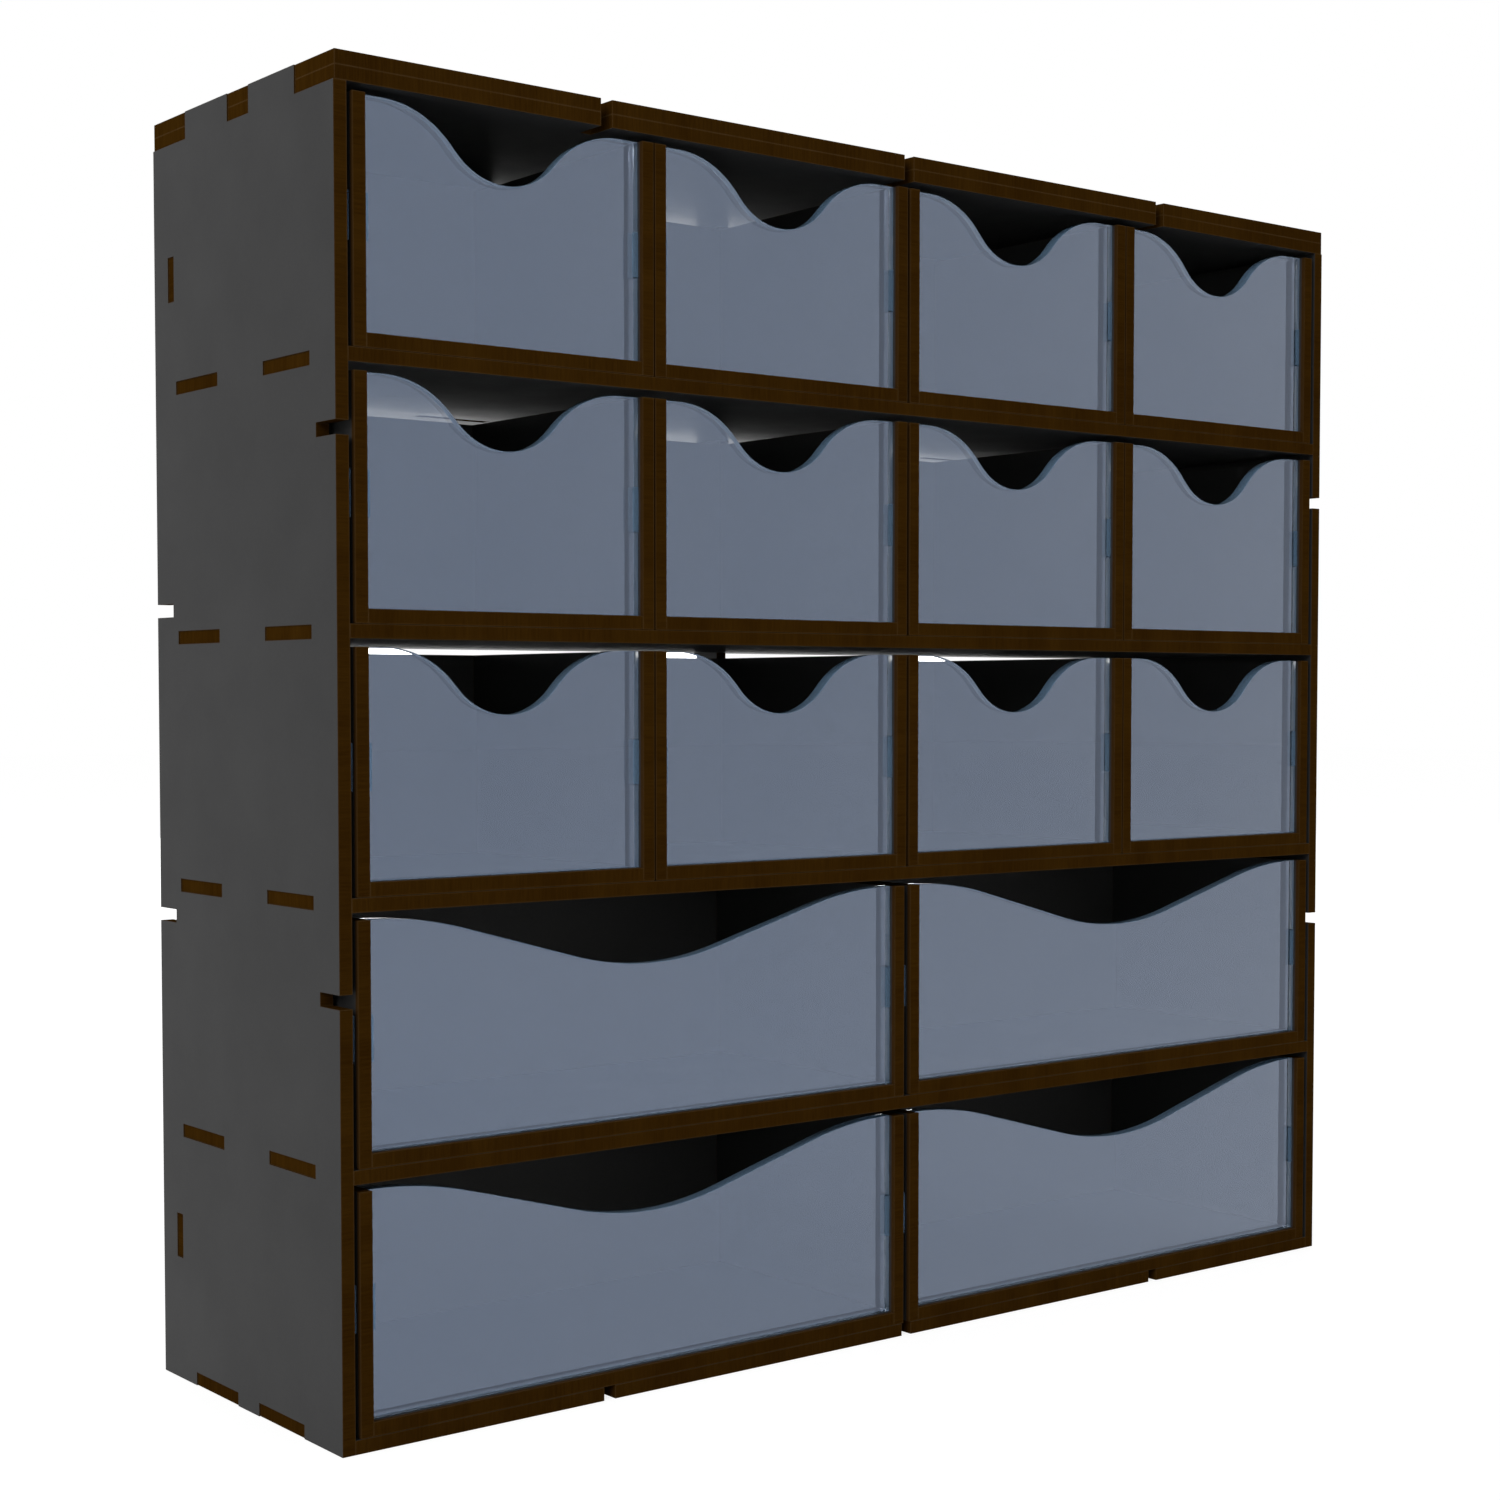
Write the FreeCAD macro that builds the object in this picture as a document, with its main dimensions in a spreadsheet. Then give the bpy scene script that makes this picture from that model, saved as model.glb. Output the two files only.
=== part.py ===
import FreeCAD, Part
import math
import os
import Sketcher

# Small-parts cabinet cut from flat board, with sixteen sliding drawers.
# Origin at the middle of the underside, +Z up, front of the cabinet towards -Y, millimetres.

doc = FreeCAD.newDocument("DrawerCabinet")
sizes = doc.addObject("Spreadsheet::Sheet", "Sizes")

# Driving dimensions

driving_dimensions = [
    ("cabinet_width", 311, "over the outer faces of the side panels"),
    ("cabinet_depth", 84, "front edge to rear edge"),
    ("board", 3, "thickness of every board"),
    ("bay_height", 53, "clear height between two shelves"),
    ("finger", 20.5, "length of a finger or tenon along the board's edge"),
    ("finger_gap", 10, "between the two fingers of a top or bottom edge"),
    ("tenon_gap", 21.5, "between the two tenons of a shelf end"),
    ("slot_play", 0.1, "how much longer a slot is than its finger"),
    ("tab_recess", 0.3, "how far a tenon stops short of the outer face"),
    ("notch_width", 3, "edge notch, across"),
    ("notch_depth", 8.2, "edge notch, inwards from the edge"),
    ("top_notch_pitch", 88.6, "between the edge notches of the top and bottom"),
    ("front_notch_low", 93.8, "height of the lower notch in a side's front edge"),
    ("front_notch_high", 210.6, "height of the upper notch in a side's front edge"),
    ("rear_notch_low", 106.3, "height of the lower notch in a side's rear edge"),
    ("rear_notch_high", 175.7, "height of the upper notch in a side's rear edge"),
    ("back_inset", 7, "rear edge to the rear face of the back panels"),
    ("back_panel_width", 82, "inner face of the side to the panel's free end"),
    ("back_tab_height", 10, "tab of a back panel in the side"),
    ("back_tab_offset", 23, "shelf face to the middle of that tab"),
    ("back_tab_margin", 1.5, "free end of a back panel to its shelf tab"),
    ("side_gap", 1.3, "cabinet side to the nearest drawer"),
    ("pair_gap", 0.45, "between the two small drawers of one half"),
    ("centre_gap", 0.9, "between the two middle small drawers"),
    ("wide_gap", 2, "between the two wide drawers"),
    ("under_gap", 0.1, "shelf to the drawer's underside"),
    ("over_gap", 1.65, "drawer's top edge to the shelf above"),
    ("stop_gap", 0.2, "drawer's back to the stop behind it"),
    ("acrylic", 3, "thickness of the clear front"),
    ("acrylic_fit", 0.1, "play of the clear front in its slots and between the walls"),
    ("front_inset", 1.8, "clear front behind the front edges of its drawer"),
    ("tenon_height", 10, "tenon of the clear front"),
    ("tenon_middle", 26.6, "drawer's underside to the middle of that tenon"),
    ("small_dip_half", 29.6, "small front, middle to the start of the dip"),
    ("small_dip_depth", 14.05, "small front, depth of the dip"),
    ("small_dip_flank", 2.4, "small front, straight stretch of the dip's flank"),
    ("small_dip_radius", 16.2, "small front, radius of the dip's bottom"),
    ("wide_dip_half", 71.6, "wide front, middle to the start of the dip"),
    ("wide_dip_depth", 13.8, "wide front, depth of the dip"),
    ("wide_dip_flank", 29.2, "wide front, straight stretch of the dip's flank"),
    ("wide_dip_radius", 75, "wide front, radius of the dip's bottom"),
]
for row, (name, value, meaning) in enumerate(driving_dimensions, start=1):
    sizes.set(f"A{row}", meaning)
    sizes.set(f"B{row}", str(value))
    sizes.setAlias(f"B{row}", name)
doc.recompute()

row_count = 5
small_row_count = 3
shelf_count = row_count - 1

# Sizes that follow from the driving dimensions, as expressions on the sheet

board = "Sizes.board"
cabinet_depth = "Sizes.cabinet_depth"
cabinet_height = f"({row_count} * Sizes.bay_height + {row_count + 2} * Sizes.board)"
inner_width = "(Sizes.cabinet_width - 2 * Sizes.board)"
sheet_width = "(Sizes.cabinet_width - 2 * Sizes.tab_recess)"
tab_length = "(Sizes.board - Sizes.tab_recess)"
slot_length = "(Sizes.finger + Sizes.slot_play)"
stop_front = "(Sizes.cabinet_depth - Sizes.back_inset - Sizes.board)"
rib_depth = "(Sizes.back_inset + Sizes.board)"
drawer_depth = f"({stop_front} - Sizes.stop_gap)"
drawer_height = "(Sizes.bay_height - Sizes.under_gap - Sizes.over_gap)"
small_width = f"(({inner_width} - 2 * Sizes.side_gap - 2 * Sizes.pair_gap - Sizes.centre_gap) / 4)"
wide_width = f"(({inner_width} - 2 * Sizes.side_gap - Sizes.wide_gap) / 2)"


def number(expression):
    """The value that an expression has now, in millimetres."""
    return float(sizes.evalExpression(expression))


def shelf_level(shelf):
    """Underside of shelf 1 to 4, counted from the top."""
    bays_below = row_count - shelf
    return f"({bays_below} * (Sizes.bay_height + Sizes.board))"


def finger_starts(length, gap):
    """Starts of two fingers that lie centred on an edge with a gap between them."""
    first = f"(({length} - {gap}) / 2 - Sizes.finger)"
    second = f"(({length} + {gap}) / 2)"
    return [first, second]


def slots_at(starts):
    """Slots for fingers at these starts, as pairs of start and length."""
    return [(f"({start} - Sizes.slot_play / 2)", slot_length) for start in starts]


def between(starts, length):
    """What is left of an edge between fingers at these starts, as pairs of start and length."""
    first, second = starts
    return [
        ("0", first),
        (f"({first} + Sizes.finger)", f"({second} - {first} - Sizes.finger)"),
        (f"({second} + Sizes.finger)", f"({length} - {second} - Sizes.finger)"),
    ]


edge_fingers = finger_starts(cabinet_depth, "Sizes.finger_gap")
shelf_tenons = finger_starts(cabinet_depth, "Sizes.tenon_gap")


# Flat boards: a padded rectangle less its notches and slots

def sketch_on(body, plane, name):
    """A sketch on one of the body's own origin planes."""
    support = [item for item in body.Origin.OriginFeatures if item.Role == plane][0]
    sketch = body.newObject("Sketcher::SketchObject", name)
    sketch.AttachmentSupport = [(support, "")]
    sketch.MapMode = "FlatFace"
    return sketch


def dimension(sketch, constraint, name, expression):
    """Adds a constraint and binds its value to an expression."""
    index = sketch.addConstraint(constraint)
    sketch.renameConstraint(index, name)
    sketch.setExpression(f"Constraints.{name}", expression)


def rectangle(sketch, name, left, low, width, height):
    """A rectangle whose place and size follow four expressions."""
    x_low = number(left)
    y_low = number(low)
    x_high = x_low + number(width)
    y_high = y_low + number(height)
    corners = [
        FreeCAD.Vector(x_low, y_low, 0),
        FreeCAD.Vector(x_high, y_low, 0),
        FreeCAD.Vector(x_high, y_high, 0),
        FreeCAD.Vector(x_low, y_high, 0),
    ]
    edges = [Part.LineSegment(corners[side], corners[(side + 1) % 4]) for side in range(4)]
    bottom, right, top, left_edge = sketch.addGeometry(edges, False)
    sketch.addConstraint([
        Sketcher.Constraint("Coincident", bottom, 2, right, 1),
        Sketcher.Constraint("Coincident", right, 2, top, 1),
        Sketcher.Constraint("Coincident", top, 2, left_edge, 1),
        Sketcher.Constraint("Coincident", left_edge, 2, bottom, 1),
        Sketcher.Constraint("Horizontal", bottom),
        Sketcher.Constraint("Horizontal", top),
        Sketcher.Constraint("Vertical", right),
        Sketcher.Constraint("Vertical", left_edge),
    ])
    dimension(sketch, Sketcher.Constraint("DistanceX", -1, 1, bottom, 1, x_low), f"{name}_left", left)
    dimension(sketch, Sketcher.Constraint("DistanceY", -1, 1, bottom, 1, y_low), f"{name}_low", low)
    dimension(sketch, Sketcher.Constraint("DistanceX", bottom, 1, bottom, 2, x_high - x_low),
              f"{name}_width", width)
    dimension(sketch, Sketcher.Constraint("DistanceY", right, 1, right, 2, y_high - y_low),
              f"{name}_height", height)


def pocket_through(body, sketch):
    """Cuts a sketch through the board, on the side of the sketch that the pad is on."""
    before = body.Tip
    pocket = body.newObject("PartDesign::Pocket", f"{sketch.Name}_cut")
    pocket.Profile = sketch
    pocket.Type = "ThroughAll"
    pocket.Reversed = not body.getObject(f"{body.Name}_pad").Reversed
    doc.recompute()
    if not pocket.Shape.Volume < before.Shape.Volume:
        raise RuntimeError(f"{sketch.Name} cuts nothing")


def board_piece(name, plane, outline, thickness, cuts):
    """A flat piece: outline and cuts are left, low, width and height on the plane."""
    body = doc.addObject("PartDesign::Body", name)
    profile = sketch_on(body, plane, f"{name}_profile")
    rectangle(profile, "outline", *outline)
    pad = body.newObject("PartDesign::Pad", f"{name}_pad")
    pad.Profile = profile
    pad.setExpression("Length", thickness)
    pad.Reversed = plane == "XZ_Plane"
    slots = sketch_on(body, plane, f"{name}_slots")
    for count, cut in enumerate(cuts, start=1):
        rectangle(slots, f"slot_{count}", *cut)
    pocket_through(body, slots)
    return body


def place(piece, **position):
    """Binds the placement along the named axes to expressions."""
    for axis, expression in position.items():
        piece.setExpression(f"Placement.Base.{axis}", expression)
    return piece


# Side panels: fingers at the top and bottom edge, tenon slots, notches in the front and rear edge

def side_panel(name):
    """One side panel, drawn on depth and height from its lower front corner."""
    cuts = [(start, f"({cabinet_height} - 2 * Sizes.board)", length, "(2 * Sizes.board)")
            for start, length in between(edge_fingers, cabinet_depth)]
    cuts += [(start, "0", length, board) for start, length in slots_at(edge_fingers)]
    for shelf in range(1, shelf_count + 1):
        cuts += [(start, shelf_level(shelf), length, board) for start, length in slots_at(shelf_tenons)]
    tab_slot = "(Sizes.back_tab_height + Sizes.slot_play)"
    high_tab = f"({shelf_level(1)} + Sizes.board + Sizes.back_tab_offset - {tab_slot} / 2)"
    low_tab = f"({shelf_level(shelf_count)} - Sizes.back_tab_offset - {tab_slot} / 2)"
    cuts += [(stop_front, tab, board, tab_slot) for tab in (high_tab, low_tab)]
    for edge, start in (("front", "0"), ("rear", "(Sizes.cabinet_depth - Sizes.notch_depth)")):
        for level in ("low", "high"):
            middle = f"Sizes.{edge}_notch_{level}"
            cuts.append((start, f"({middle} - Sizes.notch_width / 2)",
                         "Sizes.notch_depth", "Sizes.notch_width"))
    return board_piece(name, "YZ_Plane", ("0", "0", cabinet_depth, cabinet_height), board, cuts)


side_left = place(side_panel("side_left"), x="-Sizes.cabinet_width / 2", y="-Sizes.cabinet_depth / 2")
side_right = place(side_panel("side_right"), x="Sizes.cabinet_width / 2 - Sizes.board",
                   y="-Sizes.cabinet_depth / 2")


# Level boards, drawn on width and depth from the middle of the front edge

half_sheet = f"({sheet_width} / 2)"
end_inside = f"({inner_width} / 2)"
rib_lap = f"({rib_depth} / 2)"


def both_ends(spans):
    """Cuts at the left and right end of a level board, as deep as the side panel is thick."""
    cuts = []
    for start, length in spans:
        cuts.append((f"(-{half_sheet})", start, tab_length, length))
        cuts.append((end_inside, start, tab_length, length))
    return cuts


def edge_notches():
    """Three notches in the front edge."""
    cuts = []
    for step in (-1, 0, 1):
        left = f"({step} * Sizes.top_notch_pitch - Sizes.notch_width / 2)"
        cuts.append((left, "0", "Sizes.notch_width", "Sizes.notch_depth"))
    return cuts


def rib_slot():
    """Half-lap slot for the rear rib, open at the rear edge."""
    return [("(-Sizes.board / 2)", f"(Sizes.cabinet_depth - {rib_lap})", board, rib_lap)]


def back_panel_slots():
    """Slots for the upright tabs of the two back panels of a row."""
    from_middle = f"({end_inside} - Sizes.back_panel_width + Sizes.back_tab_margin - Sizes.slot_play / 2)"
    return [
        (f"(-{from_middle} - {slot_length})", stop_front, slot_length, board),
        (from_middle, stop_front, slot_length, board),
    ]


def level_board(name, level, cuts):
    """A top, bottom or shelf board at its height."""
    outline = (f"(-{half_sheet})", "0", sheet_width, cabinet_depth)
    piece = board_piece(name, "XY_Plane", outline, board, cuts)
    return place(piece, y="-Sizes.cabinet_depth / 2", z=level)


finger_notches = both_ends(slots_at(edge_fingers))
top_outer = level_board("top_outer", f"{cabinet_height} - Sizes.board", finger_notches + edge_notches())
top_inner = level_board("top_inner", f"{cabinet_height} - 2 * Sizes.board",
                        finger_notches + edge_notches() + rib_slot() + back_panel_slots())
bottom = level_board("bottom", "0 * Sizes.board",
                     both_ends(between(edge_fingers, cabinet_depth))
                     + edge_notches() + rib_slot() + back_panel_slots())
shelves = []
for shelf in range(1, shelf_count + 1):
    shelf_cuts = both_ends(between(shelf_tenons, cabinet_depth)) + rib_slot()
    if shelf in (1, shelf_count):
        shelf_cuts += back_panel_slots()
    shelves.append(level_board(f"shelf_{shelf}", shelf_level(shelf), shelf_cuts))


# Back panels: two in the top row, and the same pair upside down in the bottom row

def back_panel(name):
    """The left panel of the top row, drawn from the side's inner face and the shelf's top."""
    tab_start = "(Sizes.back_panel_width - Sizes.back_tab_margin - Sizes.finger)"
    tab_low = "(Sizes.back_tab_offset - Sizes.back_tab_height / 2)"
    tab_high = "(Sizes.back_tab_offset + Sizes.back_tab_height / 2)"
    outer = f"(-{tab_length})"
    outline = (outer, outer, f"({tab_length} + Sizes.back_panel_width)",
               f"(Sizes.bay_height + 2 * {tab_length})")
    cuts = [
        (outer, outer, tab_length, f"({tab_length} + {tab_low})"),
        (outer, tab_high, tab_length, f"(Sizes.bay_height + {tab_length} - {tab_high})"),
    ]
    for low in (outer, "Sizes.bay_height"):
        cuts.append(("0", low, tab_start, tab_length))
        cuts.append((f"({tab_start} + Sizes.finger)", low, "Sizes.back_tab_margin", tab_length))
    return board_piece(name, "XZ_Plane", outline, board, cuts)


def mirrored(name, source, normal):
    """The mirror image of a piece about a plane through the origin."""
    image = doc.addObject("Part::Mirroring", name)
    image.Source = source
    image.Normal = normal
    return image


def group(name, pieces):
    """Several pieces, or one, under a name and placement of their own."""
    compound = doc.addObject("Part::Compound", name)
    compound.Links = pieces
    return compound


across = FreeCAD.Vector(1, 0, 0)
upright = FreeCAD.Vector(0, 0, 1)
corner_panel = place(back_panel("corner_panel"), x=f"-{inner_width} / 2",
                     y=f"{stop_front} - Sizes.cabinet_depth / 2")
corner_panel_right = mirrored("corner_panel_right", corner_panel, across)
panel_pair = group("panel_pair", [corner_panel, corner_panel_right])
panel_pair_flipped = mirrored("panel_pair_flipped", panel_pair, upright)
back_panels_top = place(group("back_panels_top", [panel_pair]), z=f"{shelf_level(1)} + Sizes.board")
back_panels_bottom = place(group("back_panels_bottom", [panel_pair_flipped]), z=shelf_level(shelf_count))


# Rear rib: an upright half-lapped into every level board but the outer top

def rear_rib_board(name):
    """The rib, drawn on depth and height from the line of the back panels."""
    levels = ["0", f"({cabinet_height} - 2 * Sizes.board)"]
    levels += [shelf_level(shelf) for shelf in range(1, shelf_count + 1)]
    outline = ("0", "Sizes.tab_recess", rib_depth, f"({cabinet_height} - Sizes.board - Sizes.tab_recess)")
    return board_piece(name, "YZ_Plane", outline, board, [("0", level, rib_lap, board) for level in levels])


rear_rib = place(rear_rib_board("rear_rib"), x="-Sizes.board / 2",
                 y=f"{stop_front} - Sizes.cabinet_depth / 2")


# Drawer pieces, drawn once for each width from the middle of the drawer's lower front edge

floor_fingers = finger_starts(drawer_depth, "Sizes.finger_gap")
back_tab_low = f"(({drawer_height} - Sizes.finger) / 2)"
tenon_low = "(Sizes.tenon_middle - Sizes.tenon_height / 2)"
tenon_high = "(Sizes.tenon_middle + Sizes.tenon_height / 2)"


def rear_tabs(inner):
    """Starts of the floor's two tabs in the back wall, each centred on its half."""
    return [f"({side} * {inner} / 4 - Sizes.finger / 2)" for side in (-1, 1)]


def end_strips(width, strip, spans):
    """Cuts of one strip's width at both ends of a piece, where its tabs leave the edge free."""
    strips = []
    for left in (f"(-{width} / 2)", f"({width} / 2 - {strip})"):
        for start, length in spans:
            strips.append((left, start, strip, length))
    return strips


def drawer_side(name, width):
    """Left wall: slot for the front's tenon, notches for the floor and for the back wall."""
    cuts = [("(Sizes.front_inset - Sizes.acrylic_fit / 2)", f"({tenon_low} - Sizes.acrylic_fit / 2)",
             "(Sizes.acrylic + Sizes.acrylic_fit)", "(Sizes.tenon_height + Sizes.acrylic_fit)")]
    cuts += [(start, "0", length, board) for start, length in slots_at(floor_fingers)]
    cuts.append((f"({drawer_depth} - Sizes.board)", f"({back_tab_low} - Sizes.slot_play / 2)",
                 board, slot_length))
    wall = board_piece(name, "YZ_Plane", ("0", "0", drawer_depth, drawer_height), board, cuts)
    return place(wall, x=f"-{width} / 2")


def drawer_back(name, width):
    """Back wall: one tab into each side wall, slots for the floor's rear tabs."""
    back_tab_high = f"({back_tab_low} + Sizes.finger)"
    cuts = end_strips(width, board, [
        ("0", back_tab_low),
        (back_tab_high, f"({drawer_height} - {back_tab_high})"),
    ])
    cuts += [(start, "0", length, board) for start, length in slots_at(rear_tabs(width))]
    outline = (f"(-{width} / 2)", "0", width, drawer_height)
    wall = board_piece(name, "XZ_Plane", outline, board, cuts)
    return place(wall, y=f"{drawer_depth} - Sizes.board")


def drawer_floor(name, width):
    """Floor: two tabs into each side wall and two into the back wall."""
    left_tab, right_tab = rear_tabs(width)
    inner_half = f"({width} / 2 - Sizes.board)"
    rear = f"({drawer_depth} - Sizes.board)"
    cuts = end_strips(width, board, between(floor_fingers, drawer_depth))
    cuts.append((f"(-{inner_half})", rear, f"({left_tab} + {inner_half})", board))
    cuts.append((f"({left_tab} + Sizes.finger)", rear, f"({right_tab} - {left_tab} - Sizes.finger)", board))
    cuts.append((f"({right_tab} + Sizes.finger)", rear, f"({inner_half} - {right_tab} - Sizes.finger)", board))
    outline = (f"(-{width} / 2)", "0", width, drawer_depth)
    return board_piece(name, "XY_Plane", outline, board, cuts)


# Clear fronts: a tenon at each end, and a finger dip cut as one wave of tangent arcs

def wave_sketch(body, name, half, depth, flank, radius):
    """The dip: arc over each shoulder, straight flank, and one arc for the bottom."""
    top = number(drawer_height)
    half_now = number(half)
    depth_now = number(depth)
    flank_now = number(flank)
    bottom_radius = number(radius)
    both_radii = (half_now ** 2 + depth_now ** 2 - flank_now ** 2) / (2 * depth_now)
    shoulder_radius = both_radii - bottom_radius
    slope = math.atan2(half_now, both_radii - depth_now) - math.atan2(flank_now, both_radii)

    def arc(x, z, arc_radius, start, end):
        circle = Part.Circle(FreeCAD.Vector(x, z, 0), FreeCAD.Vector(0, 0, 1), arc_radius)
        return Part.ArcOfCircle(circle, start, end)

    upwards = math.pi / 2
    left = arc(-half_now, top - shoulder_radius, shoulder_radius, upwards - slope, upwards)
    right = arc(half_now, top - shoulder_radius, shoulder_radius, upwards, upwards + slope)
    low = arc(0, top - depth_now + bottom_radius, bottom_radius, -upwards - slope, -upwards + slope)
    sketch = sketch_on(body, "XZ_Plane", name)
    left_arc, low_arc, right_arc, left_flank, right_flank, lid = sketch.addGeometry([
        left,
        low,
        right,
        Part.LineSegment(left.StartPoint, low.StartPoint),
        Part.LineSegment(low.EndPoint, right.EndPoint),
        Part.LineSegment(right.StartPoint, left.EndPoint),
    ], False)
    sketch.addConstraint([
        Sketcher.Constraint("Tangent", left_arc, 1, left_flank, 1),
        Sketcher.Constraint("Tangent", left_flank, 2, low_arc, 1),
        Sketcher.Constraint("Tangent", low_arc, 2, right_flank, 1),
        Sketcher.Constraint("Tangent", right_flank, 2, right_arc, 2),
        Sketcher.Constraint("Coincident", right_arc, 1, lid, 1),
        Sketcher.Constraint("Coincident", lid, 2, left_arc, 2),
        Sketcher.Constraint("Vertical", left_arc, 3, left_arc, 2),
        Sketcher.Constraint("Vertical", right_arc, 3, right_arc, 1),
        Sketcher.Constraint("PointOnObject", low_arc, 3, -2),
        Sketcher.Constraint("Symmetric", lid, 1, lid, 2, -2),
        Sketcher.Constraint("Equal", left_arc, right_arc),
    ])
    dimension(sketch, Sketcher.Constraint("DistanceX", lid, 2, lid, 1, 2 * half_now), "across", f"2 * {half}")
    dimension(sketch, Sketcher.Constraint("DistanceY", -1, 1, lid, 1, top), "top", drawer_height)
    dimension(sketch, Sketcher.Constraint("DistanceY", -1, 1, low_arc, 3, top - depth_now + bottom_radius),
              "bottom_centre", f"{drawer_height} - {depth} + {radius}")
    dimension(sketch, Sketcher.Constraint("Radius", low_arc, bottom_radius), "bottom_radius", radius)
    dimension(sketch, Sketcher.Constraint("Distance", left_flank, flank_now), "flank", flank)
    return sketch


def drawer_front(name, width, kind):
    """Clear panel that stands on the floor, with its tenons flush with the walls' outer faces."""
    foot = "(Sizes.board + Sizes.acrylic_fit / 2)"
    outline = (f"(-{width} / 2)", foot, width, f"({drawer_height} - {foot})")
    cuts = end_strips(width, foot, [
        (foot, f"({tenon_low} - {foot})"),
        (tenon_high, f"({drawer_height} - {tenon_high})"),
    ])
    panel = board_piece(name, "XZ_Plane", outline, "Sizes.acrylic", cuts)
    shape = [f"Sizes.{kind}_dip_{part}" for part in ("half", "depth", "flank", "radius")]
    pocket_through(panel, wave_sketch(panel, f"{name}_dip", *shape))
    return place(panel, y="Sizes.front_inset")


def drawer_pieces(kind, width):
    """The three named parts of a drawer: clear front, walls and floor."""
    left_wall = drawer_side(f"{kind}_left_wall", width)
    right_wall = mirrored(f"{kind}_right_wall", left_wall, across)
    back_wall = drawer_back(f"{kind}_back_wall", width)
    return {
        "front": [drawer_front(f"{kind}_front", width, kind)],
        "walls": [left_wall, right_wall, back_wall],
        "floor": [drawer_floor(f"{kind}_floor", width)],
    }


# Drawers: four small ones in a row, or two wide ones, each a placed copy of its three parts

def column_middles(wide):
    """Middles of a row's drawers from left to right, across the cabinet."""
    if wide:
        right = [f"(Sizes.wide_gap / 2 + {wide_width} / 2)"]
    else:
        inner = f"(Sizes.centre_gap / 2 + {small_width} / 2)"
        right = [inner, f"({inner} + {small_width} + Sizes.pair_gap)"]
    return [f"(-{middle})" for middle in reversed(right)] + right


pieces = {False: drawer_pieces("small", small_width), True: drawer_pieces("wide", wide_width)}
drawer_parts = []
for row in range(1, row_count + 1):
    wide = row > small_row_count
    for column, middle in enumerate(column_middles(wide), start=1):
        for part, solids in pieces[wide].items():
            placed = group(f"drawer_r{row}c{column}_{part}", solids)
            place(placed, x=middle, y="-Sizes.cabinet_depth / 2",
                  z=f"{row_count - row} * (Sizes.bay_height + Sizes.board) + Sizes.board + Sizes.under_gap")
            drawer_parts.append(placed)

nodes = [side_left, side_right, top_outer, top_inner, bottom, *shelves,
         back_panels_top, back_panels_bottom, rear_rib, *drawer_parts]

# Checks, then one file for each node

doc.recompute()
for item in doc.Objects:
    if "Invalid" in item.State or "Error" in item.State:
        raise RuntimeError(f"{item.Name}: {item.State}")
for item in doc.findObjects("Sketcher::SketchObject"):
    if item.solve() != 0:
        raise RuntimeError(f"{item.Name} does not solve")
for node in nodes:
    if node.Shape.isNull() or not node.Shape.isValid():
        raise RuntimeError(f"{node.Label} has no valid shape")

os.makedirs("parts", exist_ok=True)
for node in nodes:
    node.Shape.exportStep(f"parts/{node.Label}.step")
print(f"{len(nodes)} nodes written")
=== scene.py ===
import math

import bpy
import numpy as np
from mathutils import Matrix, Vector


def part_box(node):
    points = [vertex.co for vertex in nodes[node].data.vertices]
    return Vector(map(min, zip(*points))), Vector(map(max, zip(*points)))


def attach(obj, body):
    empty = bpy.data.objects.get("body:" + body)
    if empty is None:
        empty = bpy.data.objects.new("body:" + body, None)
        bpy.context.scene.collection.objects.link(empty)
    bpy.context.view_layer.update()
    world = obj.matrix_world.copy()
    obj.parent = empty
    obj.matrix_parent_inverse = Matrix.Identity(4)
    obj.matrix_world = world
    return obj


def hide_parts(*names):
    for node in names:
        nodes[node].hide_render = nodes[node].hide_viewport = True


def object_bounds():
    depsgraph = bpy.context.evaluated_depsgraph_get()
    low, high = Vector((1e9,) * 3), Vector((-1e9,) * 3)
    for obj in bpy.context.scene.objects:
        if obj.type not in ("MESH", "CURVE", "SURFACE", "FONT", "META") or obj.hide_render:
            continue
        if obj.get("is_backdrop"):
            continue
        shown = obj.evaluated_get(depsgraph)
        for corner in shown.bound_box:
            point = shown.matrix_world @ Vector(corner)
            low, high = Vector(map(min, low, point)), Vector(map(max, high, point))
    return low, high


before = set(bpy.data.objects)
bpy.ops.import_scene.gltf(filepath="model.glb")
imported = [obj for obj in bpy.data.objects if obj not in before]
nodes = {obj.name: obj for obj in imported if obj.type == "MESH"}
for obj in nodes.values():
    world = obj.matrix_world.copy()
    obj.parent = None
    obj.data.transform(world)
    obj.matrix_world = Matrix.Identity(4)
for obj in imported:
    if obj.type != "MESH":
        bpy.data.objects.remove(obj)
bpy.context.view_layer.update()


# Cabinet: side panels, double top, bottom, four shelves, back panels and rear rib.
# Fibreboard 3 mm thick with a smooth dark grey face, cut out by laser, so that
# every cut edge is scorched brown. Tenons and fingers hold it together, with no screws.

mm = 0.001
rim_radius = 0.45 * mm
relief_strength = 0.6
face_relief = 0.01 * mm
edge_relief = 0.04 * mm
face_dark = (0.0240, 0.0240, 0.0243, 1)
face_light = (0.0290, 0.0290, 0.0293, 1)
face_roughness = (0.44, 0.49)
face_gloss = 0.10
singed_brown = (0.0340, 0.0145, 0.0016, 1)
singed_rim_share = 0.6
singed_roughness = 0.95
singed_fully_to = 0.9 * mm
singed_until = 1.4 * mm
scorch_dark = (0.0260, 0.0105, 0.0010, 1)
scorch_light = (0.0410, 0.0180, 0.0022, 1)
scorch_roughness = (0.95, 0.80)
# Lighter brown for the cut rims of edges: partly wear, partly a painted highlight along the arris.
wear_and_highlight_brown = (0.075, 0.045, 0.020, 1)
wear_and_highlight_rim_share = 0.9
streak_stretch = 0.06
along_axis = 0.7


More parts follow.
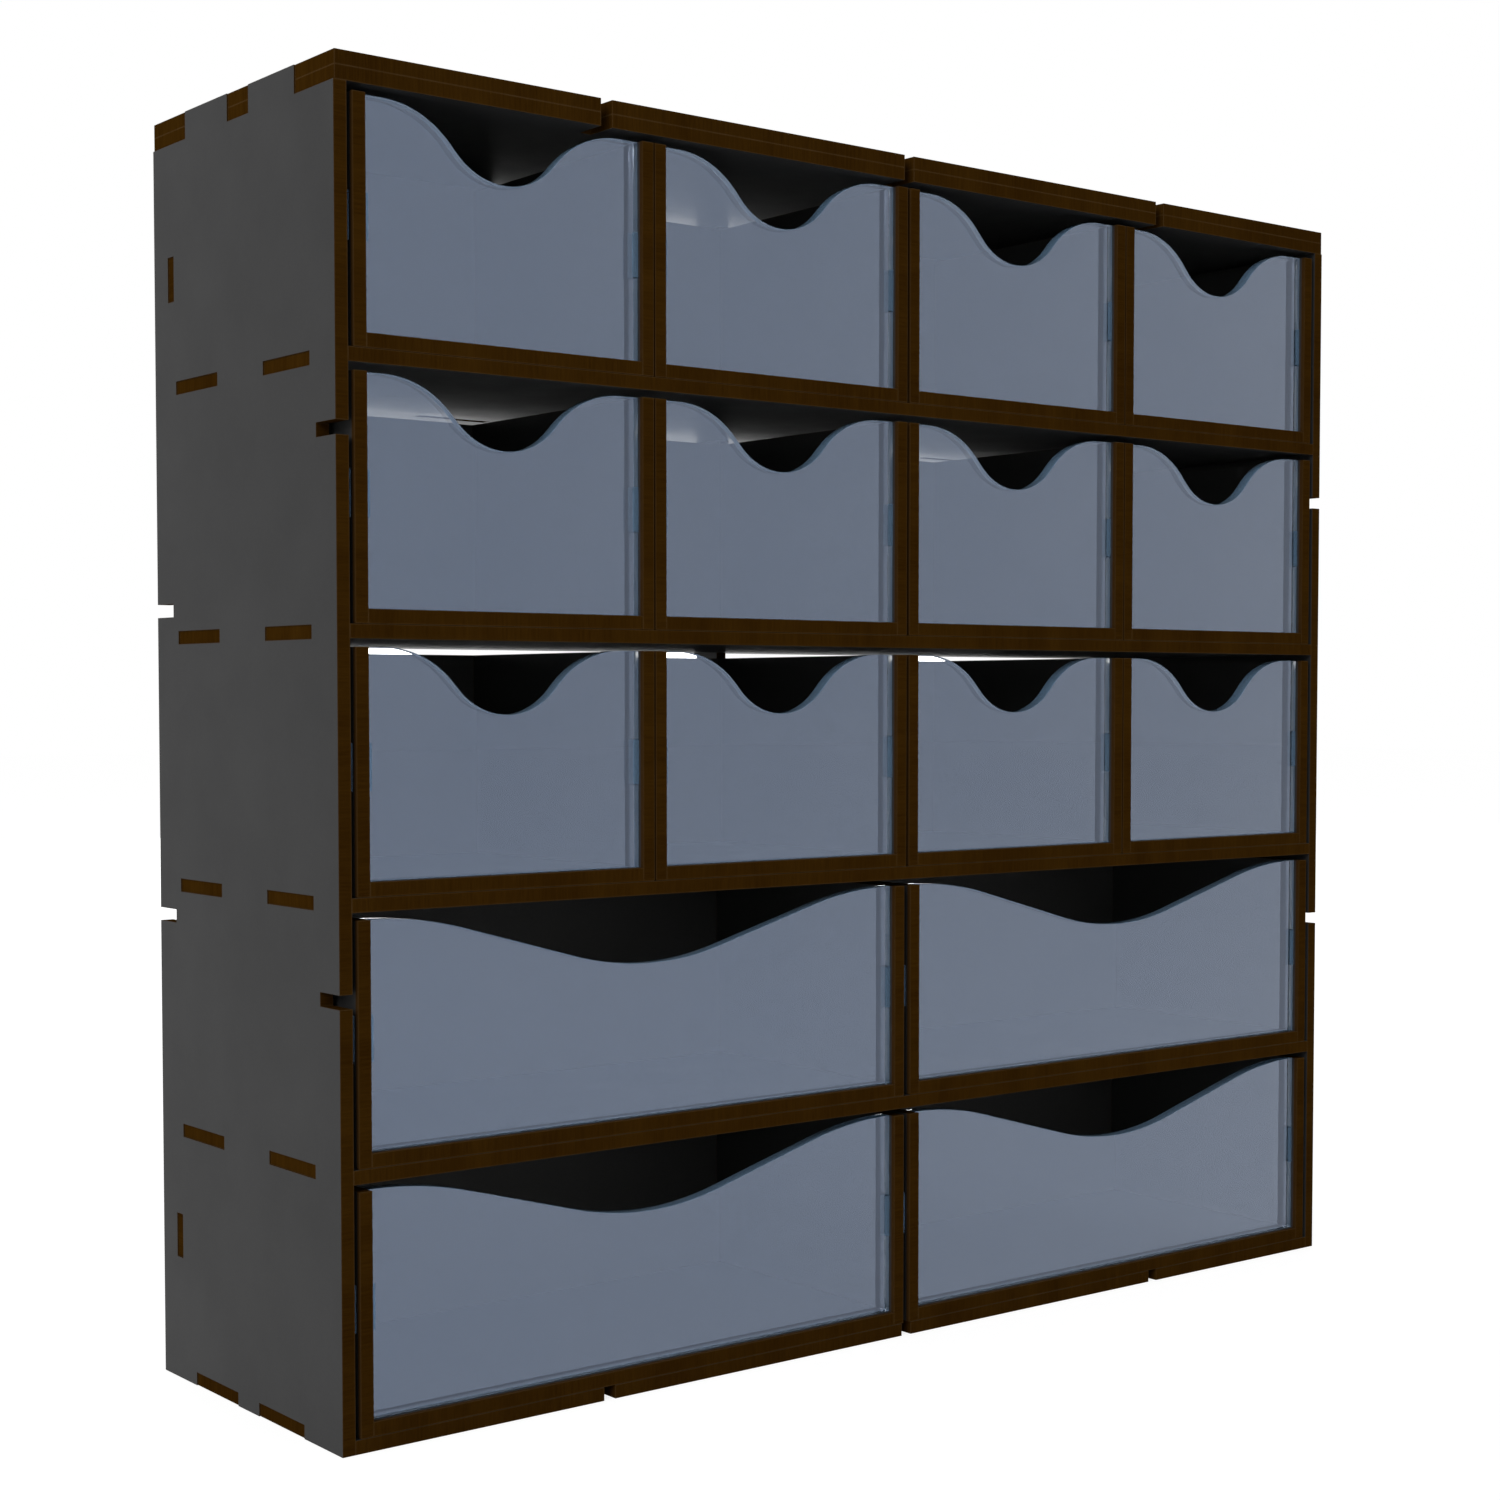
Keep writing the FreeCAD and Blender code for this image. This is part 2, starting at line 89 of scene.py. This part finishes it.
def node_group(name, inputs, outputs):
    """An empty shader group with named sockets, and its two end nodes."""
    group = bpy.data.node_groups.new(name, "ShaderNodeTree")
    for socket, kind in inputs:
        group.interface.new_socket(name=socket, in_out="INPUT", socket_type=kind)
    for socket, kind in outputs:
        group.interface.new_socket(name=socket, in_out="OUTPUT", socket_type=kind)
    return group, group.nodes.new("NodeGroupInput"), group.nodes.new("NodeGroupOutput")


def noise(tree, vector, per_metre, detail, roughness=0.5):
    """A noise texture whose value goes from 0 to 1, sized in features per metre."""
    node = tree.nodes.new("ShaderNodeTexNoise")
    node.inputs["Scale"].default_value = per_metre
    node.inputs["Detail"].default_value = detail
    node.inputs["Roughness"].default_value = roughness
    tree.links.new(vector, node.inputs["Vector"])
    return node.outputs["Fac"]


def remap(tree, value, low, high, to_low=0.0, to_high=1.0):
    """Stretches the range low to high onto another range and clips the rest."""
    node = tree.nodes.new("ShaderNodeMapRange")
    for socket, number in zip(("From Min", "From Max", "To Min", "To Max"), (low, high, to_low, to_high)):
        node.inputs[socket].default_value = number
    tree.links.new(value, node.inputs["Value"])
    return node.outputs["Result"]


def math_node(tree, operation, first, second):
    """One sum on two sockets or numbers."""
    node = tree.nodes.new("ShaderNodeMath")
    node.operation = operation
    for socket, value in zip(node.inputs, (first, second)):
        if isinstance(value, (int, float)):
            socket.default_value = value
        else:
            tree.links.new(value, socket)
    return node.outputs["Value"]


def mix_colours(tree, share, first, second):
    """Goes from the first colour to the second with the share."""
    node = tree.nodes.new("ShaderNodeMix")
    node.data_type = "RGBA"
    for socket, value in (("Factor_Float", share), ("A_Color", first), ("B_Color", second)):
        target = next(s for s in node.inputs if s.identifier == socket)
        if isinstance(value, tuple):
            target.default_value = value
        else:
            tree.links.new(value, target)
    return next(s for s in node.outputs if s.identifier == "Result_Color")


def weighted_sum(tree, first, first_share, second, second_share):
    """The two values, each times its share, added."""
    return math_node(tree, "ADD", math_node(tree, "MULTIPLY", first, first_share),
                     math_node(tree, "MULTIPLY", second, second_share))


def make_cut_rim_group():
    """How near a point is to a sharp edge, as 0 to 1: the rounded normal leaves the true one there."""
    tree, start, end = node_group(
        "cut_rim", [("Vector", "NodeSocketVector")], [("Rim", "NodeSocketFloat")])
    rounded = tree.nodes.new("ShaderNodeBevel")
    rounded.samples = 4
    rounded.inputs["Radius"].default_value = rim_radius
    true = tree.nodes.new("ShaderNodeNewGeometry")
    along = tree.nodes.new("ShaderNodeVectorMath")
    along.operation = "DOT_PRODUCT"
    tree.links.new(rounded.outputs["Normal"], along.inputs[0])
    tree.links.new(true.outputs["Normal"], along.inputs[1])
    rim = remap(tree, along.outputs["Value"], low=0.98, high=0.80)
    breaks = noise(tree, start.outputs["Vector"], per_metre=160, detail=3)
    broken = remap(tree, breaks, low=0.3, high=0.7, to_low=0.55)
    tree.links.new(math_node(tree, "MULTIPLY", rim, broken), end.inputs["Rim"])
    return tree


def make_fibre_group():
    """Pressed fibre under a thin coat: cloudy tone, short fibres, a few specks, and their height."""
    tree, start, end = node_group(
        "board_fibre", [("Vector", "NodeSocketVector")],
        [("Tone", "NodeSocketFloat"), ("Rub", "NodeSocketFloat"), ("Height", "NodeSocketFloat")])
    vector = start.outputs["Vector"]
    clouds = noise(tree, vector, per_metre=28, detail=4, roughness=0.55)
    fibres = noise(tree, vector, per_metre=1400, detail=3, roughness=0.65)
    specks = noise(tree, vector, per_metre=520, detail=2)
    rubbing = noise(tree, vector, per_metre=60, detail=5, roughness=0.6)
    tone = remap(tree, weighted_sum(tree, clouds, 0.55, fibres, 0.45), low=0.34, high=0.66)
    dust = remap(tree, specks, low=0.66, high=0.74, to_high=0.35)
    height = weighted_sum(tree, fibres, 0.6, specks, 0.4)
    tree.links.new(math_node(tree, "ADD", tone, dust), end.inputs["Tone"])
    tree.links.new(remap(tree, rubbing, low=0.35, high=0.65), end.inputs["Rub"])
    tree.links.new(height, end.inputs["Height"])
    return tree


def make_scorch_group():
    """Laser-cut edge: streaks a third of a millimetre apart, with deeper burns between them."""
    tree, start, end = node_group(
        "laser_scorch", [("Vector", "NodeSocketVector")],
        [("Tone", "NodeSocketFloat"), ("Height", "NodeSocketFloat")])
    vector = start.outputs["Vector"]
    streaks = noise(tree, vector, per_metre=2600, detail=2, roughness=0.6)
    burns = noise(tree, vector, per_metre=90, detail=4, roughness=0.6)
    tone = remap(tree, weighted_sum(tree, streaks, 0.5, burns, 0.5), low=0.36, high=0.64)
    tree.links.new(tone, end.inputs["Tone"])
    tree.links.new(streaks, end.inputs["Height"])
    return tree


cut_rim = make_cut_rim_group()
board_fibre = make_fibre_group()
laser_scorch = make_scorch_group()


def new_material(name):
    """A material with its shader and the object's own coordinates."""
    material = bpy.data.materials.new(name)
    material.use_nodes = True
    tree = material.node_tree
    place = tree.nodes.new("ShaderNodeTexCoord").outputs["Object"]
    return material, tree, tree.nodes["Principled BSDF"], place


def use_group(tree, group, vector):
    """Places a shared group in a material."""
    node = tree.nodes.new("ShaderNodeGroup")
    node.node_tree = group
    tree.links.new(vector, node.inputs["Vector"])
    return node.outputs


def add_bump(tree, shader, height, depth):
    """Fine relief of that depth in metres."""
    bump = tree.nodes.new("ShaderNodeBump")
    bump.inputs["Strength"].default_value = relief_strength
    bump.inputs["Distance"].default_value = depth
    tree.links.new(height, bump.inputs["Height"])
    tree.links.new(bump.outputs["Normal"], shader.inputs["Normal"])


def make_face_material(name, singed_front=None):
    """Dark grey board face, slightly rubbed, browned right beside the cut edges.

    With a front edge given, the smoke of the cut has singed the face a millimetre deep behind it."""
    material, tree, shader, place = new_material(name)
    fibre = use_group(tree, board_fibre, place)
    rim = use_group(tree, cut_rim, place)["Rim"]
    singed = math_node(tree, "MULTIPLY", rim, singed_rim_share)
    if singed_front is not None:
        axes = tree.nodes.new("ShaderNodeSeparateXYZ")
        tree.links.new(place, axes.inputs["Vector"])
        behind_edge = remap(tree, axes.outputs["Y"],
                            singed_front + singed_until, singed_front + singed_fully_to)
        singed = math_node(tree, "MAXIMUM", singed, behind_edge)
    grey = mix_colours(tree, fibre["Tone"], face_dark, face_light)
    rubbed = remap(tree, fibre["Rub"], 0, 1, *face_roughness)
    roughness = math_node(tree, "MAXIMUM", rubbed, math_node(tree, "MULTIPLY", singed, singed_roughness))
    tree.links.new(mix_colours(tree, singed, grey, singed_brown), shader.inputs["Base Color"])
    tree.links.new(roughness, shader.inputs["Roughness"])
    shader.inputs["Specular IOR Level"].default_value = face_gloss
    add_bump(tree, shader, fibre["Height"], face_relief)
    return material


def make_edge_material(axis):
    """Scorched edge of boards that are thin along one axis, so the streaks run along it, with a lighter rim
    that is partly wear and partly a painted highlight.
    """
    material, tree, shader, place = new_material("scorched_edge_" + axis)
    stretch = tree.nodes.new("ShaderNodeMapping")
    stretch.inputs["Scale"].default_value["xyz".index(axis)] = streak_stretch
    tree.links.new(place, stretch.inputs["Vector"])
    scorch = use_group(tree, laser_scorch, stretch.outputs["Vector"])
    rim = use_group(tree, cut_rim, place)["Rim"]
    brown = mix_colours(tree, scorch["Tone"], scorch_dark, scorch_light)
    # The lighter rim is partly wear and partly a painted highlight on the arris.
    wear_and_highlight = math_node(tree, "MULTIPLY", rim, wear_and_highlight_rim_share)
    tree.links.new(mix_colours(tree, wear_and_highlight, brown, wear_and_highlight_brown), shader.inputs["Base Color"])
    tree.links.new(remap(tree, scorch["Tone"], 0, 1, *scorch_roughness), shader.inputs["Roughness"])
    shader.inputs["Specular IOR Level"].default_value = 0.0
    add_bump(tree, shader, scorch["Height"], edge_relief)
    return material


board_face = make_face_material("grey_board_face")
board_edges = {axis: make_edge_material(axis) for axis in "xyz"}


def polygon_arrays(mesh):
    """Normals, and lowest and highest corners, of all triangles of a mesh."""
    points = np.empty(len(mesh.vertices) * 3, np.float32)
    mesh.vertices.foreach_get("co", points)
    corners = np.empty(len(mesh.loops), np.int32)
    mesh.loops.foreach_get("vertex_index", corners)
    triangles = points.reshape(-1, 3)[corners].reshape(-1, 3, 3)
    normals = np.empty(len(mesh.polygons) * 3, np.float32)
    mesh.polygons.foreach_get("normal", normals)
    return normals.reshape(-1, 3), triangles.min(axis=1), triangles.max(axis=1)


def give_materials(node, materials, indexes):
    """Puts the materials in the node's slots and each triangle in its slot."""
    mesh = nodes[node].data
    mesh.materials.clear()
    for material in materials:
        mesh.materials.append(material)
    mesh.polygons.foreach_set("material_index", np.asarray(indexes, np.int32))
    mesh.update()


def finish_board(node, axis, face):
    """Grey on the two broad faces, which look along the board's thin axis, and scorched elsewhere."""
    normals = polygon_arrays(nodes[node].data)[0]
    broad = np.abs(normals[:, "xyz".index(axis)]) > along_axis
    give_materials(node, [face, board_edges[axis]], ~broad)


cabinet_boards = {
    "x": ["side_left", "side_right", "rear_rib"],
    "y": ["back_panels_top", "back_panels_bottom"],
    "z": ["top_outer", "top_inner", "bottom", "shelf_1", "shelf_2", "shelf_3", "shelf_4"],
}
for axis, names in cabinet_boards.items():
    for node in names:
        finish_board(node, axis, board_face)


# Drawers: each has two side walls and a back wall of the same board, and a floor
# whose tabs go through the walls. Rows 1 to 3 hold four small drawers, rows 4 and 5
# two wide ones. The back wall's tabs show in the rear of the side walls.

small_drawers = [f"drawer_r{row}c{column}" for row in (1, 2, 3) for column in (1, 2, 3, 4)]
wide_drawers = [f"drawer_r{row}c{column}" for row in (4, 5) for column in (1, 2)]
board_thickness = 3 * mm
tolerance = 0.02 * mm
tab_margin_share = 0.25
drawer_front = -42 * mm
drawer_face = make_face_material("grey_drawer_face", drawer_front)


def finish_walls(node):
    """Tells the back wall, which is thin along y, from the side walls, which are thin along x."""
    normals, low, high = polygon_arrays(nodes[node].data)
    box_low, box_high = (np.array(corner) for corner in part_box(node))
    middle_x = (box_low[0] + box_high[0]) / 2
    half_width = (box_high[0] - box_low[0]) / 2
    tab_margin = (box_high[2] - box_low[2]) * tab_margin_share
    widest = np.maximum(np.abs(low[:, 0] - middle_x), np.abs(high[:, 0] - middle_x))
    in_rear = low[:, 1] > box_high[1] - board_thickness - tolerance
    between_walls = widest < half_width - board_thickness + tolerance
    in_tab = (low[:, 2] > box_low[2] + tab_margin) & (high[:, 2] < box_high[2] - tab_margin)
    is_back = in_rear & (between_walls | in_tab)
    broad_side = ~is_back & (np.abs(normals[:, 0]) > along_axis)
    broad_back = is_back & (np.abs(normals[:, 1]) > along_axis)
    indexes = np.where(broad_side | broad_back, 0, np.where(is_back, 2, 1))
    give_materials(node, [drawer_face, board_edges["x"], board_edges["y"]], indexes)


for drawer in small_drawers + wide_drawers:
    finish_walls(drawer + "_walls")
    finish_board(drawer + "_floor", "z", drawer_face)


# Clear fronts: 3 mm tinted clear plastic, laser-cut with a wave-shaped finger dip
# between two shoulders and one tenon at each end, which shows in a slot in the side
# wall. The panel stands on the floor board, a little behind the wall's front edges.

end_gap = 3.05 * mm
tenon_low = 18.55 * mm
tenon_high = 28.55 * mm
arris = 0.08 * mm
arris_steps = 4
scuff_length = 1.4 * mm
sharp_angle = math.radians(40)
small_dip = {"half": 29.6 * mm, "depth": 14.05 * mm, "flank": 2.4 * mm, "radius": 16.2 * mm}
wide_dip = {"half": 71.6 * mm, "depth": 13.8 * mm, "flank": 29.2 * mm, "radius": 75 * mm}
plastic_ior = 1.49
sheet_unevenness = 0.02 * mm


def dip_curve(half, depth, flank, radius, steps=28):
    """Right half of the dip from its shoulder to its lowest point, as x and drop below the top.

    A shoulder arc, a straight flank and a bottom arc meet without a corner. With the flank's
    slope angle a, tan(a/2) = depth / (half + flank), and the two radii together are
    (half - flank cos a) / sin a, so the shoulder's radius is what the bottom arc leaves."""
    slope = 2 * math.atan(depth / (half + flank))
    shoulder = (half - flank * math.cos(slope)) / math.sin(slope) - radius
    turn = np.linspace(0, slope, steps)
    shoulder_x = half - shoulder * np.sin(turn)
    shoulder_drop = shoulder * (1 - np.cos(turn))
    bottom_x = radius * np.sin(turn[::-1])
    bottom_drop = depth - radius * (1 - np.cos(turn[::-1]))
    return np.concatenate([shoulder_x, bottom_x]), np.concatenate([shoulder_drop, bottom_drop])


def front_outline(width, height, dip):
    """The panel's outline in x and z from the middle of its foot, going anticlockwise.

    Points 4 to 7 are the right tenon, and the last two with the first two are the left one."""
    x, drop = dip_curve(**dip)
    right = np.stack([x, height - drop], axis=1)
    left = right[-2::-1] * (-1, 1)
    outer = width / 2
    inner = outer - end_gap
    lower = [(-outer, tenon_low), (-inner, tenon_low), (-inner, 0), (inner, 0),
             (inner, tenon_low), (outer, tenon_low), (outer, tenon_high), (inner, tenon_high),
             (inner, height)]
    upper = [(-inner, height), (-inner, tenon_high), (-outer, tenon_high)]
    return np.concatenate([np.array(lower), right, left, np.array(upper)])


def carry_profile(outline, thickness):
    """Rings of points from the front face to the back face of a plate with rounded arrises.

    Point i of ring j is outline point i, moved inwards along the mitre of its two edges by the
    profile's inset j, at the profile's depth j. The mitre is the sum of the two edges' outward
    normals over one plus the cosine between them. The profile is a quarter circle of radius
    arris at each face: after a turn t, its inset is arris (1 - sin t) and its depth
    arris (1 - cos t)."""
    ahead = np.roll(outline, -1, axis=0) - outline
    ahead /= np.linalg.norm(ahead, axis=1, keepdims=True)
    outward_ahead = np.stack([ahead[:, 1], -ahead[:, 0]], axis=1)
    outward_behind = np.roll(outward_ahead, 1, axis=0)
    both = outward_ahead + outward_behind
    mitre = both / (1 + (outward_ahead * outward_behind).sum(axis=1))[:, None]
    turn = np.linspace(0, math.pi / 2, arris_steps)
    inset = arris * (1 - np.sin(turn))
    depth = arris * (1 - np.cos(turn))
    insets = np.concatenate([inset, inset[::-1]])
    depths = np.concatenate([depth, thickness - depth[::-1]])
    flat = outline[None] - mitre[None] * insets[:, None, None]
    return np.stack([flat[..., 0], np.broadcast_to(depths[:, None], flat.shape[:2]), flat[..., 1]], axis=-1)


def cap_faces(ring, roots):
    """One flat side of the plate: its clear middle and its two tenons, scuffed up to the roots."""
    right_low, right_high, left_high, left_low = roots
    middle = [left_low, *ring[1:5], right_low, right_high, *ring[7:-1], left_high]
    right_tenon = [right_low, *ring[4:8], right_high]
    left_tenon = [left_high, *ring[-2:], *ring[:2], left_low]
    return [middle, right_tenon, left_tenon]


def rounded_plate(name, outline, foot, thickness):
    """The closed panel on its foot point: the profile's rings, strips between them and two caps.

    A tenon's root lies scuff_length inside the panel, level with the tenon's two corners."""
    points = carry_profile(outline, thickness) + np.array(foot)
    ring_count, count = points.shape[:2]
    tenon_corners = [4, 7, -2, 1]
    inwards = np.array([-1, -1, 1, 1])
    roots = points[[0, -1]][:, tenon_corners]
    roots[..., 0] += scuff_length * inwards
    first = np.arange(count)
    second = np.roll(first, -1)
    start = (np.arange(ring_count - 1) * count)[:, None]
    strips = np.stack([start + first, start + count + first, start + count + second, start + second],
                      axis=-1).reshape(-1, 4)
    rings = np.arange(ring_count * count).reshape(ring_count, count)
    root_numbers = (ring_count * count + np.arange(8)).reshape(2, 4)
    front_cap = cap_faces(rings[0], root_numbers[0])
    back_cap = [face[::-1] for face in cap_faces(rings[-1], root_numbers[1])]
    mesh = bpy.data.meshes.new(name)
    mesh.from_pydata(np.concatenate([points.reshape(-1, 3), roots.reshape(-1, 3)]), [],
                     strips.tolist() + front_cap + back_cap)
    face_number = np.arange(len(mesh.polygons))
    clear_middles = np.isin(face_number, (len(strips), len(strips) + len(front_cap)))
    mesh.set_sharp_from_angle(angle=sharp_angle)
    mesh.polygons.foreach_set("use_smooth", face_number < len(strips))
    mesh.polygons.foreach_set("material_index", (~clear_middles).astype(np.int32))
    plate = bpy.data.objects.new(name, mesh)
    bpy.context.scene.collection.objects.link(plate)
    return plate


def make_handling_group():
    """What handling leaves on clear plastic: smears and a faint unevenness of the sheet."""
    tree, start, end = node_group(
        "handled_plastic", [("Vector", "NodeSocketVector")],
        [("Smear", "NodeSocketFloat"), ("Height", "NodeSocketFloat")])
    vector = start.outputs["Vector"]
    smear = noise(tree, vector, per_metre=35, detail=5, roughness=0.62)
    tree.links.new(remap(tree, smear, low=0.35, high=0.68), end.inputs["Smear"])
    tree.links.new(noise(tree, vector, per_metre=18, detail=2, roughness=0.4), end.inputs["Height"])
    return tree


handled_plastic = make_handling_group()


def make_plastic_material(name, clean_tint, smeared_tint, sheen, roughness, clearness):
    """Clear tinted plastic: what clearness leaves of the light is scattered in its rough cut."""
    material, tree, shader, place = new_material(name)
    handled = use_group(tree, handled_plastic, place)
    tint = mix_colours(tree, handled["Smear"], clean_tint, smeared_tint)
    tree.links.new(tint, shader.inputs["Base Color"])
    tree.links.new(remap(tree, handled["Smear"], 0, 1, *roughness), shader.inputs["Roughness"])
    shader.inputs["IOR"].default_value = plastic_ior
    shader.inputs["Transmission Weight"].default_value = clearness
    shader.inputs["Specular Tint"].default_value = sheen
    add_bump(tree, shader, handled["Height"], sheet_unevenness)
    return material


plastic_face = make_plastic_material(
    "clear_plastic", clean_tint=(0.95, 0.97, 0.99, 1), smeared_tint=(0.92, 0.95, 0.98, 1),
    sheen=(1.72, 2.10, 2.90, 1), roughness=(0.0, 0.004), clearness=1.0)
plastic_edge = make_plastic_material(
    "clear_plastic_edge", clean_tint=(0.27, 0.42, 0.60, 1), smeared_tint=(0.23, 0.38, 0.56, 1),
    sheen=(0.8, 1.3, 2.0, 1), roughness=(0.05, 0.12), clearness=0.65)

for drawer in small_drawers + wide_drawers:
    node = drawer + "_front"
    low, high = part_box(node)
    dip = wide_dip if drawer in wide_drawers else small_dip
    outline = front_outline(high.x - low.x, high.z - low.z, dip)
    foot = ((low.x + high.x) / 2, low.y, low.z)
    plate = rounded_plate(drawer + "_clear_front", outline, foot, high.y - low.y)
    for material in (plastic_face, plastic_edge):
        plate.data.materials.append(material)
    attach(plate, drawer)
    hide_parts(node)


# Studio: a plain white floor under even soft light, with a large soft lamp at the left
# front and another behind. The floor and the air round the object are white to the
# camera and in reflections, and the floor keeps a soft shadow.

floor_size = 12.0
floor_drop = 0.05 * mm
room_light = 0.55
floor_glow = 0.83
floor_white = (0.80, 0.80, 0.80, 1)
floor_seen = (0.30, 0.30, 0.30, 1)
white = (1, 1, 1, 1)
lamp_aim = (0, 0, 0.14)


def seen_directly(tree):
    """1 for what the camera, a reflection or clear plastic sees, and 0 for light on the object."""
    path = tree.nodes.new("ShaderNodeLightPath")
    total = math_node(tree, "ADD", path.outputs["Is Camera Ray"], path.outputs["Is Glossy Ray"])
    total = math_node(tree, "ADD", total, path.outputs["Is Transmission Ray"])
    return math_node(tree, "MINIMUM", total, 1.0)


def make_floor():
    """A large flat sheet on which the cabinet stands."""
    half = floor_size / 2
    corners = [(-half, -half, 0), (half, -half, 0), (half, half, 0), (-half, half, 0)]
    mesh = bpy.data.meshes.new("studio_floor")
    mesh.from_pydata(corners, [], [(0, 1, 2, 3)])
    sheet = bpy.data.objects.new("studio_floor", mesh)
    sheet.location.z = -floor_drop
    bpy.context.scene.collection.objects.link(sheet)
    sheet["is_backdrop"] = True
    material, tree, shader, place = new_material("studio_floor")
    seen = seen_directly(tree)
    tree.links.new(mix_colours(tree, seen, floor_white, floor_seen), shader.inputs["Base Color"])
    tree.links.new(math_node(tree, "MULTIPLY", seen, floor_glow), shader.inputs["Emission Strength"])
    shader.inputs["Emission Color"].default_value = white
    shader.inputs["Roughness"].default_value = 1.0
    shader.inputs["Specular IOR Level"].default_value = 0.0
    mesh.materials.append(material)


def make_room():
    """White air that lights the object evenly."""
    world = bpy.data.worlds.new("studio_room")
    bpy.context.scene.world = world
    world.use_nodes = True
    tree = world.node_tree
    light = tree.nodes["Background"]
    light.inputs["Color"].default_value = white
    light.inputs["Strength"].default_value = room_light
    backdrop = tree.nodes.new("ShaderNodeBackground")
    backdrop.inputs["Color"].default_value = white
    backdrop.inputs["Strength"].default_value = 1.0
    choose = tree.nodes.new("ShaderNodeMixShader")
    tree.links.new(seen_directly(tree), choose.inputs["Fac"])
    tree.links.new(light.outputs["Background"], choose.inputs[1])
    tree.links.new(backdrop.outputs["Background"], choose.inputs[2])
    tree.links.new(choose.outputs["Shader"], tree.nodes["World Output"].inputs["Surface"])


def add_lamp(name, place, size, power):
    """A square soft lamp at a place, turned to the middle of the cabinet."""
    data = bpy.data.lights.new(name, "AREA")
    data.shape = "SQUARE"
    data.size = size
    data.energy = power
    lamp = bpy.data.objects.new(name, data)
    lamp.location = place
    lamp.rotation_euler = (Vector(lamp_aim) - Vector(place)).to_track_quat("-Z", "Y").to_euler()
    bpy.context.scene.collection.objects.link(lamp)


make_floor()
make_room()
add_lamp("soft_lamp_rear", place=(0.9, 1.9, 0.5), size=1.6, power=34)
add_lamp("soft_lamp_left", place=(-1.9, -0.9, 1.3), size=1.2, power=26)


# Camera: a little above mid-height, left of the front, as in the reference picture.
# Its place, turn and focal length were solved from the straight edges seen there.

camera_place = (-395.35 * mm, -478.86 * mm, 155.72 * mm)
camera_turn = (math.radians(87.581), 0.0, math.radians(-38.42))
sensor_width = 36
focal_pixels = 2423.92
picture_pixels = 1500
optical_axis_below_middle = 51.2

lens = bpy.data.cameras.new("camera")
lens.sensor_width = sensor_width
lens.lens = sensor_width * focal_pixels / picture_pixels
lens.shift_y = optical_axis_below_middle / picture_pixels
lens.clip_start = 10 * mm
camera = bpy.data.objects.new("camera", lens)
camera.location = camera_place
camera.rotation_euler = camera_turn
bpy.context.scene.collection.objects.link(camera)
bpy.context.scene.camera = camera

bpy.context.scene.view_settings.view_transform = "Standard"

low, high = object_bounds()
